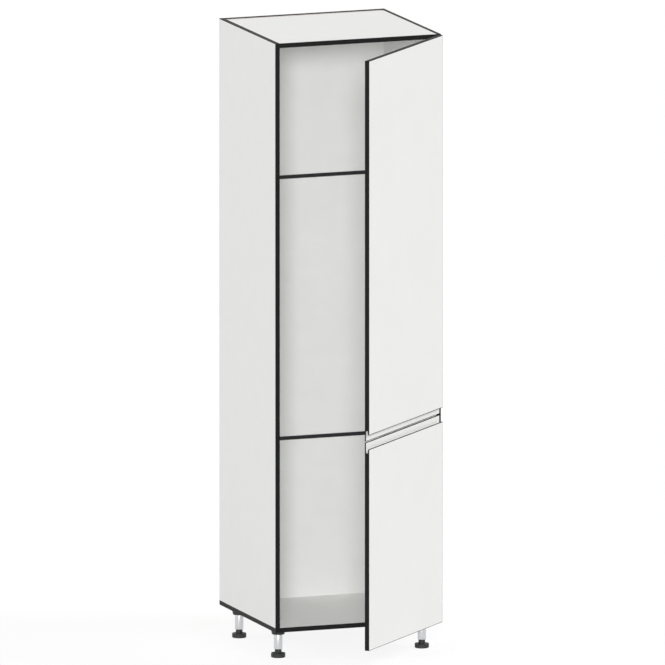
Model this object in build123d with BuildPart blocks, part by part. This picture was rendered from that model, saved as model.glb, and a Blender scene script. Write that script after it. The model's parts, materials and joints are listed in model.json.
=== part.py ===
from build123d import *
import math
import os

os.makedirs("parts", exist_ok=True)

# A tall kitchen cabinet on four adjustable feet, with two doors hung on its right side, one above
# the other, each with a grip milled along its edge. Both doors stand half open.
# Millimetres, +Z up, the front looks along -Y. The origin is on the floor, under the carcass's centre.

# Carcass: outer size, boards and edge bands
width = 600.0
depth = 565.0
carcass_height = 2036.0
board = 16.0
band = 2.0
band_rounding = 1.2
floor_clearance = 100.0

# Back: three thin sheets in grooves, joined by two profiles
sheet = 3.0
sheet_from_back = 35.0
groove_depth = 8.0
groove_play = 0.1
lower_seam_height = 572.0
upper_seam_height = 1479.0
joint_web = 1.2
joint_flange = 1.0
joint_width = 13.0
joint_play = 0.5

# Rail on edge between the sides, behind the back, at the top
top_rail_height = 80.0
top_rail_dowel_from_edge = 20.0

# Doors: two leaves, their gaps and how far they stand open
door_board = 16.0
door_reveal = 2.0
door_gap = 2.0
between_doors = 4.0
lower_door_height = 718.0
door_angle = 45.0

# Grip milled along the edge where the doors meet
grip_wall = 4.0
grip_lip = 4.0
grip_rise = 22.5
grip_groove = 14.0

# Cup hinges, in plan from the carcass's front right corner: x to the right, y into the carcass
cup_diameter = 35.0
cup_setback = 21.5
cup_depth = 11.5
cup_wall = 1.0
cup_plate = 1.2
cup_play = 0.1
cup_screw_spacing = 45.0
cup_screw_offset = 9.5
door_pin_setback = 8.6
door_pin_depth = 3.8
arm_pin_offset = 15.0
arm_pin_depth = 2.5
link_ratio = -0.30
pin_diameter = 2.5
pin_play = 0.05
link_eye = 4.6
link_strap = 2.2
link_width = 11.0
link_sag = 5.5
arm_nose = 4.2
arm_inside = 11.8
arm_wall = 1.2
arm_reach = 62.0
arm_back_height = 12.0
arm_lift = 3.0
plate_setback = 37.0
plate_screw_spacing = 32.0
plate_thickness = 2.0
plate_length = 22.0
plate_wing = 52.0
plate_rail = 10.0
clamp_setback = 50.0
clamp_screw = 6.0
clamp_head = 8.0
clamp_head_height = 2.0
ear_reach = 3.0
link_side_play = 0.4
cup_rim = 1.5
cup_screw_length = 10.0
plate_screw_length = 12.0
cup_screw_head_height = 1.5
driver_share = 0.6
driver_slot = 1.2
ear_rise = 2.4
rail_from_front = 30.0
rail_length = 26.0
cup_plate_width = 14.0
cup_plate_length = 57.0
buffer_inset = 30.0
buffer_diameter = 8.0
buffer_height = 1.5
buffer_from_end = 40.0
leg_screw_head_height = 1.5
hinge_from_plain_end = 98.0
upper_hinge_from_grip = 214.0
lower_hinge_from_grip = 118.0

# Legs: sockets under the bottom board, tubes and feet
leg_from_side = 39.0
leg_from_front = 82.0
leg_from_back = 91.0
socket_diameter = 49.0
socket_height = 20.0
tube_diameter = 29.0
tube_wall = 2.5
tube_from_floor = 29.0
foot_diameter = 49.0
foot_height = 15.0
stem_reach = 40.0
stem_play = 0.3
socket_roof = 3.0
socket_flange = 4.0
socket_taper = 3.0
foot_rounding = 2.0
leg_screw_circle = 38.0
leg_screw_in_board = 10.0

# Fasteners
screw_play = 0.05
confirmat_neck = 7.0
confirmat_shank = 5.0
confirmat_length = 50.0
confirmat_head = 10.0
confirmat_head_height = 4.0
confirmat_tip = 5.0
fixing_from_front = 60.0
fixing_from_back = 100.0
dowel_diameter = 8.0
dowel_length = 30.0
dowel_in_end = 20.0
dowel_from_fixing = 64.0
cam_diameter = 15.0
cam_height = 12.5
cam_from_end = 24.0
cam_slot = 2.5
bolt_diameter = 7.0
bolt_in_side = 11.0
wood_screw = 3.5
wood_screw_head = 7.0
wood_screw_length = 14.0

# Faces and lines that the pieces share
right = width / 2
left = -right
front = -depth / 2
back = depth / 2
low = floor_clearance
high = low + carcass_height
floor_top = low + board
top_underside = high - board
sheet_back = back - sheet_from_back
sheet_front = sheet_back - sheet
sheet_edge = groove_depth - groove_play
door_width = width - 2 * door_reveal
lower_door_low = low + door_reveal
lower_door_high = lower_door_low + lower_door_height
upper_door_low = lower_door_high + between_doors
upper_door_high = high - door_reveal
fixing_depths = (front + fixing_from_front, 0.0, sheet_front - fixing_from_back)
top_fixing_depths = (front + fixing_from_front, sheet_front - fixing_from_back)
dowel_depths = (fixing_depths[0] + dowel_from_fixing, fixing_depths[-1] - dowel_from_fixing)
top_rail_low = high - top_rail_height
top_rail_dowels = [
    (back - board / 2, top_rail_low + top_rail_dowel_from_edge),
    (back - board / 2, high - top_rail_dowel_from_edge),
]
upper_hinges = [
    upper_door_low + upper_hinge_from_grip,
    (upper_door_low + upper_door_high) / 2,
    upper_door_high - hinge_from_plain_end,
]
lower_hinges = [lower_door_low + hinge_from_plain_end, lower_door_high - lower_hinge_from_grip]
pin_half = arm_inside / 2 + arm_wall


def plate_screw_places():
    """Where the screws go through each hinge plate, on the right side."""
    half = plate_screw_spacing / 2
    heights = upper_hinges + lower_hinges
    return [(front + plate_setback, z + i * half) for z in heights for i in (-1, 1)]


def facing_right(x):
    """Plane seen along X: local x runs back, local y up, and its normal is +X."""
    return Plane(origin=(x, 0, 0), x_dir=(0, 1, 0), z_dir=(1, 0, 0))


def save(piece, name):
    """Label a finished piece and write it as its own file."""
    piece.part.label = name
    export_step(piece.part, f"parts/{name}.step")


def slab(x, y, z, mode=Mode.ADD):
    """Rectangular solid between three pairs of limits, in the open part."""
    with Locations(((x[0] + x[1]) / 2, (y[0] + y[1]) / 2, (z[0] + z[1]) / 2)):
        Box(x[1] - x[0], y[1] - y[0], z[1] - z[0], mode=mode)


def side_groove(sign):
    """Limits of the groove in a side board that takes the back, run out at the board's top."""
    inner = sign * (right - board)
    x = sorted((inner, inner + sign * groove_depth))
    return x, (sheet_front - groove_play, sheet_back + groove_play), (floor_top, high)


def turned(points):
    """Solid of revolution about Z, from its half section as points of radius and height."""
    with BuildPart() as turning:
        with BuildSketch(Plane.XZ):
            with BuildLine():
                Polyline(*points, points[0])
            make_face()
        revolve(axis=Axis.Z)
    return turning.part


def wood_screw_solid(head_height, seat, length):
    """Wood screw along Z: flat under its head at seat, with a pointed tip length below zero."""
    shank = wood_screw / 2
    return turned(
        [
            (0, seat + head_height),
            (wood_screw_head / 2, seat),
            (shank, seat),
            (shank, wood_screw - length),
            (0, -length),
        ]
    )


# Hinge geometry in plan. The outer link turns on the arm's pin, and the door on the link's far pin.
def turn(point, centre, degrees):
    """A point of the plan, turned about a centre."""
    angle = math.radians(degrees)
    x, y = point[0] - centre[0], point[1] - centre[1]
    return (
        centre[0] + x * math.cos(angle) - y * math.sin(angle),
        centre[1] + x * math.sin(angle) + y * math.cos(angle),
    )


arm_pin = (right - board - arm_pin_offset, front + arm_pin_depth)
door_pin_closed = (right - door_reveal - door_pin_setback, front - door_gap - door_pin_depth)
door_pin = turn(door_pin_closed, arm_pin, link_ratio * door_angle)


def on_door(setback, proud):
    """Plan point of the open door, from its hinge edge along it and out of its back face."""
    closed = (right - door_reveal - setback, front - door_gap + proud)
    x, y = turn(closed, door_pin_closed, door_angle)
    return (x + door_pin[0] - door_pin_closed[0], y + door_pin[1] - door_pin_closed[1])


door_corner = on_door(0, 0)
toward_edge = (math.cos(math.radians(door_angle)), math.sin(math.radians(door_angle)), 0)
toward_free = (-toward_edge[0], -toward_edge[1], 0)
out_of_back = (-toward_edge[1], toward_edge[0], 0)
out_of_front = (toward_edge[1], -toward_edge[0], 0)
# Section plane: local x from the back face to the front, local y up, normal along the door.
door_section = Plane(origin=(*door_corner, 0), x_dir=out_of_front, z_dir=toward_free)
# Back face plane: local x from the hinge edge, local y up, normal out of the back face.
door_back = Plane(origin=(*door_corner, 0), x_dir=toward_free, z_dir=out_of_back)


# Carcass
def side_panel(sign):
    """Side board on the bottom board, with its back groove and the holes for its fixings."""
    inner = sign * (right - board)
    outer = sign * right
    x = sorted((inner, outer))
    with BuildPart() as side:
        slab(x, (front + band, back), (floor_top, high - band))
        slab(*side_groove(sign), mode=Mode.SUBTRACT)
        middle = (inner + outer) / 2
        with BuildSketch(Plane.XY.offset(floor_top)):
            with Locations(*[(middle, y) for y in fixing_depths]):
                Circle(confirmat_shank / 2 + screw_play)
        extrude(amount=confirmat_length - board + screw_play, mode=Mode.SUBTRACT)
        with BuildSketch(Plane.XY.offset(floor_top)):
            with Locations(*[(middle, y) for y in dowel_depths]):
                Circle(dowel_diameter / 2 + screw_play)
        extrude(amount=dowel_in_end + screw_play, mode=Mode.SUBTRACT)
        top_middle = high - board / 2
        with BuildSketch(facing_right(inner)):
            with Locations(*[(y, top_middle) for y in top_fixing_depths]):
                Circle(bolt_diameter / 2 + screw_play)
            with Locations(*[(y, top_middle) for y in dowel_depths], *top_rail_dowels):
                Circle(dowel_diameter / 2 + screw_play)
        extrude(amount=sign * (bolt_in_side + screw_play), mode=Mode.SUBTRACT)
        if sign > 0:
            with BuildSketch(facing_right(inner)):
                with Locations(*plate_screw_places()):
                    Circle(wood_screw / 2 + screw_play)
            extrude(amount=sign * (plate_screw_length + screw_play), mode=Mode.SUBTRACT)
    return side


def side_edging(sign):
    """Edge bands of a side board: one down its front and one along its top."""
    x = sorted((sign * (right - board), sign * right))
    with BuildPart() as edging:
        slab(x, (front, front + band), (floor_top, high))
        slab(x, (front + band, back), (high - band, high))
        upright = edging.edges().group_by(Axis.Y)[0].filter_by(Axis.Z)
        level = edging.edges().group_by(Axis.Z)[-1].filter_by(Axis.Y)
        corner = edging.edges().group_by(Axis.Z)[-1].group_by(Axis.Y)[0]
        fillet(upright + level + corner, band_rounding)
        slab(*side_groove(sign), mode=Mode.SUBTRACT)
    return edging


def bottom_panel():
    """Bottom board under both sides, with its back groove and the holes for its fixings."""
    with BuildPart() as bottom:
        slab((left + band, right - band), (front + band, back), (low, floor_top))
        with BuildSketch(Plane.XY.offset(floor_top)):
            with Locations((0, (sheet_front + sheet_back) / 2)):
                Rectangle(width - 2 * (board - groove_depth), sheet + 2 * groove_play)
        extrude(amount=-groove_depth, mode=Mode.SUBTRACT)
        for middle in (left + board / 2, right - board / 2):
            with BuildSketch(Plane.XY.offset(low)):
                with Locations(*[(middle, y) for y in fixing_depths]):
                    Circle(confirmat_neck / 2 + screw_play)
            extrude(amount=board, mode=Mode.SUBTRACT)
            with BuildSketch(Plane.XY.offset(low)):
                with Locations(*[(middle, y) for y in fixing_depths]):
                    Circle(confirmat_head / 2 + screw_play)
            extrude(amount=confirmat_head_height + screw_play, mode=Mode.SUBTRACT)
            with BuildSketch(Plane.XY.offset(floor_top)):
                with Locations(*[(middle, y) for y in dowel_depths]):
                    Circle(dowel_diameter / 2 + screw_play)
            extrude(amount=-(dowel_length - dowel_in_end + screw_play), mode=Mode.SUBTRACT)
        with BuildSketch(Plane.XY.offset(low)):
            with Locations(*leg_screw_places()):
                Circle(wood_screw / 2 + screw_play)
        extrude(amount=leg_screw_in_board + screw_play, mode=Mode.SUBTRACT)
    return bottom


def bottom_edging():
    """Edge bands of the bottom board, round its front and both ends."""
    with BuildPart() as edging:
        slab((left, right), (front, front + band), (low, floor_top))
        for x in ((left, left + band), (right - band, right)):
            slab(x, (front + band, back), (low, floor_top))
        ends = edging.edges().group_by(Axis.X)
        fillet(
            edging.edges().group_by(Axis.Y)[0]
            + ends[0].filter_by(Axis.Y)
            + ends[-1].filter_by(Axis.Y),
            band_rounding,
        )
    return edging


def top_panel():
    """Top board between the sides, ending against the back, with seats for its cams and dowels."""
    end = right - board
    middle = high - board / 2
    with BuildPart() as top:
        slab((-end, end), (front + band, sheet_front), (top_underside, high))
        for sign in (-1, 1):
            with BuildSketch(Plane.XY.offset(top_underside)):
                with Locations(*[(sign * (end - cam_from_end), y) for y in top_fixing_depths]):
                    Circle(cam_diameter / 2 + screw_play)
            extrude(amount=cam_height + screw_play, mode=Mode.SUBTRACT)
            with BuildSketch(facing_right(sign * end)):
                with Locations(*[(y, middle) for y in top_fixing_depths]):
                    Circle(bolt_diameter / 2 + screw_play)
            extrude(amount=-sign * cam_from_end, mode=Mode.SUBTRACT)
            with BuildSketch(facing_right(sign * end)):
                with Locations(*[(y, middle) for y in dowel_depths]):
                    Circle(dowel_diameter / 2 + screw_play)
            extrude(amount=-sign * (dowel_in_end + screw_play), mode=Mode.SUBTRACT)
    return top


def top_edging():
    """Edge band along the front of the top board."""
    end = right - board
    with BuildPart() as edging:
        slab((-end, end), (front, front + band), (top_underside, high))
        fillet(edging.edges().group_by(Axis.Y)[0].filter_by(Axis.X), band_rounding)
    return edging


def top_rail():
    """Rail on edge between the sides, behind the back, with seats for its dowels."""
    end = right - board
    with BuildPart() as rail:
        slab((-end, end), (back - board, back), (top_rail_low, high - band))
        for sign in (-1, 1):
            with BuildSketch(facing_right(sign * end)):
                with Locations(*top_rail_dowels):
                    Circle(dowel_diameter / 2 + screw_play)
            extrude(amount=-sign * (dowel_in_end + screw_play), mode=Mode.SUBTRACT)
    return rail


def top_rail_edging():
    """Edge band along the top of the rail."""
    end = right - board
    with BuildPart() as edging:
        slab((-end, end), (back - board, back), (high - band, high))
        fillet(edging.edges().group_by(Axis.Z)[-1].filter_by(Axis.X), band_rounding)
    return edging


def back_sheet(low_edge, high_edge):
    """One sheet of the back, held in the grooves of the sides."""
    reach = right - board + sheet_edge
    with BuildPart() as sheet_part:
        slab((-reach, reach), (sheet_front, sheet_back), (low_edge, high_edge))
    return sheet_part


def back_joint_strip(height):
    """H profile between two sheets of the back, seen from its end and drawn out across the back."""
    reach = right - board - joint_play
    with BuildPart() as strip:
        with BuildSketch(facing_right(-reach)):
            for face in (sheet_front - joint_flange / 2, sheet_back + joint_flange / 2):
                with Locations((face, height)):
                    Rectangle(joint_flange, joint_width)
            with Locations(((sheet_front + sheet_back) / 2, height)):
                Rectangle(sheet, joint_web)
        extrude(amount=2 * reach)
    return strip


# Fixings of the carcass
def confirmat_screws():
    """Screws from under the bottom board up into the sides: head, neck and thread as one turning."""
    screw = turned(
        [
            (0, 0),
            (confirmat_head / 2, 0),
            (confirmat_head / 2, confirmat_head_height),
            (confirmat_neck / 2, confirmat_head_height),
            (confirmat_neck / 2, board),
            (confirmat_shank / 2, board),
            (confirmat_shank / 2, confirmat_length - confirmat_tip),
            (0, confirmat_length),
        ]
    )
    middles = (left + board / 2, right - board / 2)
    with BuildPart() as screws:
        with Locations(*[(x, y, low) for x in middles for y in fixing_depths]):
            add(screw)
    return screws


def wood_dowels():
    """Beech dowels: upright ones under the sides, level ones at the ends of the top board and rail."""
    with BuildPart() as dowels:
        foot = floor_top - (dowel_length - dowel_in_end)
        with BuildSketch(Plane.XY.offset(foot)):
            for x in (left + board / 2, right - board / 2):
                with Locations(*[(x, y) for y in dowel_depths]):
                    Circle(dowel_diameter / 2)
        extrude(amount=dowel_length)
        for sign in (-1, 1):
            start = sign * (right - board + dowel_length - dowel_in_end)
            with BuildSketch(facing_right(start)):
                with Locations(*[(y, high - board / 2) for y in dowel_depths], *top_rail_dowels):
                    Circle(dowel_diameter / 2)
            extrude(amount=-sign * dowel_length)
    return dowels


def cam_locks():
    """Round cams let into the top board from below, each with a driver slot and a recess for its bolt."""
    end = right - board
    with BuildPart() as cams:
        for sign in (-1, 1):
            places = [(sign * (end - cam_from_end), y) for y in top_fixing_depths]
            with BuildSketch(Plane.XY.offset(top_underside)):
                with Locations(*places):
                    Circle(cam_diameter / 2)
            extrude(amount=cam_height)
            with BuildSketch(Plane.XY.offset(top_underside)):
                with Locations(*places):
                    Rectangle(cam_diameter - 2 * cam_slot, cam_slot)
                    Rectangle(cam_slot, cam_diameter - 2 * cam_slot)
            extrude(amount=cam_slot, mode=Mode.SUBTRACT)
            with BuildSketch(facing_right(sign * (end - cam_from_end + cam_diameter))):
                with Locations(*[(y, high - board / 2) for y in top_fixing_depths]):
                    Circle(bolt_diameter / 2 + screw_play)
            extrude(amount=-sign * cam_diameter, mode=Mode.SUBTRACT)
    return cams


def cam_bolts():
    """Steel bolts screwed into the sides, whose ends the cams grip."""
    end = right - board
    with BuildPart() as bolts:
        for sign in (-1, 1):
            with BuildSketch(facing_right(sign * (end + bolt_in_side))):
                with Locations(*[(y, high - board / 2) for y in top_fixing_depths]):
                    Circle(bolt_diameter / 2)
            extrude(amount=-sign * (bolt_in_side + cam_from_end))
    return bolts


# Legs
leg_places = [
    (x, y)
    for x in (left + leg_from_side, right - leg_from_side)
    for y in (front + leg_from_front, back - leg_from_back)
]


def leg_screw_places():
    """Plan points of the screws round each leg's flange."""
    reach = leg_screw_circle / 2 * math.sqrt(0.5)
    return [(x + i * reach, y + j * reach) for x, y in leg_places for i in (-1, 1) for j in (-1, 1)]


def leg_sockets():
    """Round sockets screwed under the bottom board, open below for the tubes."""
    outer = socket_diameter / 2
    bore = tube_diameter / 2 + screw_play
    socket = turned(
        [
            (0, 0),
            (outer, 0),
            (outer, -socket_flange),
            (outer - socket_taper, -socket_height),
            (bore, -socket_height),
            (bore, -socket_roof),
            (0, -socket_roof),
        ]
    )
    with BuildPart() as sockets:
        with Locations(*[(x, y, low) for x, y in leg_places]):
            add(socket)
        with BuildSketch(Plane.XY.offset(low)):
            with Locations(*leg_screw_places()):
                Circle(wood_screw / 2 + screw_play)
        extrude(amount=-socket_height, mode=Mode.SUBTRACT)
        with BuildSketch(Plane.XY.offset(low - socket_flange)):
            with Locations(*leg_screw_places()):
                Circle(wood_screw_head / 2 + screw_play)
        extrude(amount=-socket_height, mode=Mode.SUBTRACT)
    return sockets


def leg_tubes():
    """Tubes pushed up into the sockets, open below for the feet's stems."""
    outer = tube_diameter / 2
    top = low - socket_roof
    with BuildPart() as tubes:
        with BuildSketch(Plane.XY.offset(tube_from_floor)):
            with Locations(*leg_places):
                Circle(outer)
                Circle(outer - tube_wall, mode=Mode.SUBTRACT)
        extrude(amount=top - tube_from_floor)
    return tubes


def leg_screws():
    """Short screws through each flange up into the bottom board."""
    screw = wood_screw_solid(leg_screw_head_height, socket_flange, leg_screw_in_board)
    with BuildPart() as screws:
        for x, y in leg_screw_places():
            with Locations(Plane(origin=(x, y, low), x_dir=(1, 0, 0), z_dir=(0, 0, -1))):
                add(screw)
    return screws


def foot(place):
    """Adjustable foot: a round base and the stem that slides in the tube."""
    base = foot_diameter / 2
    stem = tube_diameter / 2 - tube_wall - stem_play
    with BuildPart() as piece:
        with BuildSketch(Plane.XZ):
            with BuildLine():
                Polyline(
                    (0, 0),
                    (base, 0),
                    (base, foot_height),
                    (stem, foot_height),
                    (stem, tube_from_floor + stem_reach),
                    (0, tube_from_floor + stem_reach),
                    (0, 0),
                )
            make_face()
        revolve(axis=Axis.Z)
        rims = piece.edges().filter_by(GeomType.CIRCLE).sort_by(SortBy.RADIUS)
        fillet(rims[-2:], foot_rounding)
    piece.part.position = (*place, 0)
    return piece


# Doors
grip_radius = (door_board - grip_wall - grip_lip) / 2


def leaf_section(edge, far, toward, trim, rounding):
    """Section of a door from its grip at edge to its plain end at far, with trim taken off its ends.

    toward is +1 or -1, from the grip to the plain end. Corners at the ends are rounded if asked.
    """
    wall_end = edge + toward * trim
    lip_end = edge + toward * (grip_rise + trim)
    plain_end = far - toward * trim
    root = edge + toward * (grip_rise + grip_groove - grip_radius)
    inside = door_board - grip_lip
    with BuildSketch() as section:
        with BuildLine():
            Polyline((grip_wall, root), (grip_wall, wall_end), (0, wall_end), (0, plain_end))
            Polyline((0, plain_end), (door_board, plain_end), (door_board, lip_end), (inside, lip_end))
            Line((inside, lip_end), (inside, root))
            ThreePointArc(
                (inside, root), (grip_wall + grip_radius, root + toward * grip_radius), (grip_wall, root)
            )
        make_face()
        if rounding:
            levels = section.vertices().group_by(Axis.Y)[::toward]
            fillet(levels[0] + levels[1] + levels[-1], rounding)
    return section.sketch


def door_panel(edge, far, toward, heights):
    """Leaf between its edge bands, with the milled grip and the seats for its hinge cups."""
    with BuildPart() as panel:
        with BuildSketch(door_section.offset(band)):
            add(leaf_section(edge, far, toward, band, 0))
        extrude(amount=door_width - 2 * band)
        with BuildSketch(door_back):
            with Locations(*[(cup_setback, z) for z in heights]):
                Circle(cup_diameter / 2 + cup_play)
        extrude(amount=-(cup_depth + cup_play), mode=Mode.SUBTRACT)
        with BuildSketch(door_back):
            with Locations(*cup_screw_places(heights)):
                Circle(wood_screw / 2 + screw_play)
        extrude(amount=-cup_depth, mode=Mode.SUBTRACT)
    return panel


def door_edging(edge, far, toward):
    """Edge bands of a leaf, on every narrow edge: the rounded outline of the door, less the leaf."""
    with BuildPart() as edging:
        with BuildSketch(door_section):
            add(leaf_section(edge, far, toward, 0, band_rounding))
        extrude(amount=door_width)
        ends = edging.faces().filter_by(Axis(door_section.origin, door_section.z_dir))
        fillet(ends.edges(), band_rounding)
        with BuildSketch(door_section.offset(band)):
            add(leaf_section(edge, far, toward, band, 0))
        extrude(amount=door_width - 2 * band, mode=Mode.SUBTRACT)
    return edging


def door_buffers(heights):
    """Clear bumper pads near the free edge, on the back face."""
    with BuildPart() as buffers:
        with BuildSketch(door_back):
            with Locations(*[(door_width - buffer_inset, z) for z in heights]):
                Circle(buffer_diameter / 2)
        extrude(amount=buffer_height)
    return buffers


# Cup hinges


def cup_screw_places(heights):
    """Points on the back face of the screws beside each cup."""
    half = cup_screw_spacing / 2
    return [(cup_setback + cup_screw_offset, z + i * half) for z in heights for i in (-1, 1)]


def hinge_cups(heights):
    """Pressed cups let into the back face, each with its plate, a pocket and two ears for its pin."""
    bore = cup_diameter / 2 - cup_wall
    seats = [(cup_setback, z) for z in heights]
    ear_top = -(door_pin_depth - ear_rise)
    ear_start = link_width / 2 + link_side_play
    ear_depth = bore - ear_start
    with BuildPart() as cups:
        with BuildSketch(door_back):
            with Locations(*seats):
                Circle(cup_diameter / 2)
        extrude(amount=-cup_depth)
        with BuildSketch(door_back):
            with Locations(*seats):
                Circle(cup_diameter / 2 + cup_rim)
            with Locations(*[(x + cup_screw_offset, z) for x, z in seats]):
                RectangleRounded(cup_plate_width, cup_plate_length, cup_plate_width / 2 - cup_rim)
        extrude(amount=cup_plate)
        with BuildSketch(door_back.offset(cup_plate)):
            with Locations(*seats):
                Circle(bore)
        extrude(amount=-(cup_plate - ear_top), mode=Mode.SUBTRACT)
        with BuildSketch(door_back.offset(ear_top)):
            with Locations(*seats):
                Circle(bore)
            for side in (-1, 1):
                ears = [(door_pin_setback, z + side * (ear_start + ear_depth / 2)) for _, z in seats]
                with Locations(*ears):
                    Rectangle(2 * ear_reach, ear_depth, mode=Mode.SUBTRACT)
        extrude(amount=-(cup_depth - cup_wall + ear_top), mode=Mode.SUBTRACT)
        with BuildSketch(door_back.offset(cup_plate)):
            with Locations(*cup_screw_places(heights)):
                Circle(wood_screw / 2 + screw_play)
        extrude(amount=-2 * cup_plate, mode=Mode.SUBTRACT)
        for z in heights:
            with BuildSketch(Plane.XY.offset(z - pin_half)):
                with Locations(door_pin):
                    Circle(pin_diameter / 2 + screw_play)
            extrude(amount=2 * pin_half, mode=Mode.SUBTRACT)
    return cups


def cup_screws(heights):
    """Screws through each cup's plate into the leaf."""
    screw = wood_screw_solid(cup_screw_head_height, cup_plate, cup_screw_length)
    with BuildPart() as screws:
        for setback, z in cup_screw_places(heights):
            seat = Plane(origin=(*on_door(setback, 0), z), x_dir=(0, 0, 1), z_dir=out_of_back)
            with Locations(seat):
                add(screw)
    return screws


def pins(place, heights):
    """Upright pins, one through each hinge."""
    with BuildPart() as rods:
        for z in heights:
            with BuildSketch(Plane.XY.offset(z - pin_half)):
                with Locations(place):
                    Circle(pin_diameter / 2)
            extrude(amount=2 * pin_half)
    return rods


def outer_links(heights):
    """Hooked links from the arms' pins to the cups' pins, with an eye at each end."""
    middle = ((arm_pin[0] + door_pin[0]) / 2, (arm_pin[1] + door_pin[1]) / 2)
    run = math.dist(arm_pin, door_pin)
    aside = ((door_pin[1] - arm_pin[1]) / run, (arm_pin[0] - door_pin[0]) / run)
    bend = (middle[0] + aside[0] * link_sag, middle[1] + aside[1] * link_sag)
    with BuildLine() as spine:
        ThreePointArc(arm_pin, bend, door_pin)
    with BuildPart() as links:
        for z in heights:
            with BuildSketch(Plane.XY.offset(z - link_width / 2)):
                SlotArc(spine.wires()[0], link_strap)
                with Locations(arm_pin, door_pin):
                    Circle(link_eye / 2)
                with Locations(arm_pin, door_pin):
                    Circle(pin_diameter / 2 + pin_play, mode=Mode.SUBTRACT)
            extrude(amount=link_width)
    return links


def arm_outline(shift):
    """Outline of an arm in plan, moved toward the side by shift: a round nose and a straight rear."""
    wall = right - board + shift
    depth_of_arm = arm_back_height - arm_lift
    middle = wall - (arm_back_height + arm_lift) / 2
    rail_front = front + rail_from_front
    arm_rear = front + arm_reach
    with BuildSketch() as outline:
        with Locations((arm_pin[0] + shift, arm_pin[1])):
            Circle(arm_nose)
        with Locations((middle, rail_front + arm_wall / 2)):
            Rectangle(depth_of_arm, arm_wall)
        make_hull()
        with Locations((middle, (rail_front + arm_rear) / 2)):
            Rectangle(depth_of_arm, arm_rear - rail_front)
    return outline.sketch


def hinge_arms(heights):
    """Channel arms along the right side, open towards it, with the links' pins across their noses."""
    half = arm_inside / 2 + arm_wall
    web = right - board - arm_back_height
    mouth = (link_eye / 2 + link_side_play + arm_nose) / 2
    with BuildPart() as arms:
        for z in heights:
            with BuildSketch(Plane.XY.offset(z - half)):
                add(arm_outline(0))
            extrude(amount=2 * half)
            with BuildSketch(Plane.XY.offset(z - arm_inside / 2)):
                add(arm_outline(arm_wall))
                with Locations((arm_pin[0] + mouth - link_eye / 2 - link_side_play, arm_pin[1] - arm_nose)):
                    Rectangle(2 * mouth, 2 * arm_nose)
            extrude(amount=arm_inside, mode=Mode.SUBTRACT)
            with BuildSketch(Plane.XY.offset(z - half)):
                with Locations(arm_pin):
                    Circle(pin_diameter / 2 + screw_play)
            extrude(amount=2 * half, mode=Mode.SUBTRACT)
        with BuildSketch(facing_right(web)):
            with Locations(*[(front + clamp_setback, z) for z in heights]):
                Circle(clamp_screw / 2 + screw_play)
        extrude(amount=arm_wall, mode=Mode.SUBTRACT)
    return arms


def hinge_plates(heights):
    """Winged plates screwed to the right side, each with the rail that an arm is clamped to."""
    wall = right - board
    rail_middle = front + rail_from_front + rail_length / 2
    rise = arm_back_height - arm_wall
    with BuildPart() as plates:
        with BuildSketch(facing_right(wall)):
            with Locations(*[(front + plate_setback, z) for z in heights]):
                RectangleRounded(plate_length, plate_wing, plate_length / 4)
        extrude(amount=-plate_thickness)
        with BuildSketch(facing_right(wall)):
            with Locations(*[(rail_middle, z) for z in heights]):
                RectangleRounded(rail_length, plate_rail, plate_rail / 4)
        extrude(amount=-rise)
        with BuildSketch(facing_right(wall)):
            with Locations(*plate_screw_places()):
                Circle(wood_screw / 2 + screw_play)
        extrude(amount=-plate_thickness, mode=Mode.SUBTRACT)
        with BuildSketch(facing_right(wall)):
            with Locations(*[(front + clamp_setback, z) for z in heights]):
                Circle(clamp_screw / 2 + screw_play)
        extrude(amount=-rise, mode=Mode.SUBTRACT)
    return plates


def hinge_plate_screws():
    """Screws through the wings of each plate into the right side."""
    wall = right - board
    screw = wood_screw_solid(cup_screw_head_height, plate_thickness, plate_screw_length)
    with BuildPart() as screws:
        for y, z in plate_screw_places():
            with Locations(Plane(origin=(wall, y, z), x_dir=(0, 0, 1), z_dir=(-1, 0, 0))):
                add(screw)
    return screws


def clamp_screws(heights):
    """Machine screws that hold the arms down on the plates' rails."""
    web = right - board - arm_back_height
    with BuildPart() as screws:
        places = [(front + clamp_setback, z) for z in heights]
        with BuildSketch(facing_right(web)):
            with Locations(*places):
                Circle(clamp_head / 2)
        extrude(amount=-clamp_head_height)
        with BuildSketch(facing_right(web)):
            with Locations(*places):
                Circle(clamp_screw / 2)
        extrude(amount=arm_back_height - plate_thickness)
        with BuildSketch(facing_right(web - clamp_head_height)):
            with Locations(*places):
                Rectangle(clamp_head * driver_share, driver_slot)
                Rectangle(driver_slot, clamp_head * driver_share)
        extrude(amount=driver_slot, mode=Mode.SUBTRACT)
    return screws


# Every piece, under the name it is kept by
for side_name, side_sign in (("left", -1), ("right", 1)):
    save(side_panel(side_sign), f"{side_name}_side_panel")
    save(side_edging(side_sign), f"{side_name}_side_edging")
save(bottom_panel(), "bottom_panel")
save(bottom_edging(), "bottom_edging")
save(top_panel(), "top_panel")
save(top_edging(), "top_edging")
save(top_rail(), "top_rail")
save(top_rail_edging(), "top_rail_edging")

lower_seam = low + lower_seam_height
upper_seam = low + upper_seam_height
half_web = joint_web / 2
save(back_sheet(floor_top - sheet_edge, lower_seam - half_web), "lower_back_sheet")
save(back_sheet(lower_seam + half_web, upper_seam - half_web), "middle_back_sheet")
save(back_sheet(upper_seam + half_web, high), "upper_back_sheet")
save(back_joint_strip(lower_seam), "lower_back_joint_strip")
save(back_joint_strip(upper_seam), "upper_back_joint_strip")

save(confirmat_screws(), "confirmat_screws")
save(wood_dowels(), "wood_dowels")
save(cam_locks(), "cam_locks")
save(cam_bolts(), "cam_bolts")

save(leg_sockets(), "leg_sockets")
save(leg_tubes(), "leg_tubes")
save(leg_screws(), "leg_screws")
foot_names = ("front_left_foot", "back_left_foot", "front_right_foot", "back_right_foot")
for foot_name, leg_place in zip(foot_names, leg_places):
    save(foot(leg_place), foot_name)

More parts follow.
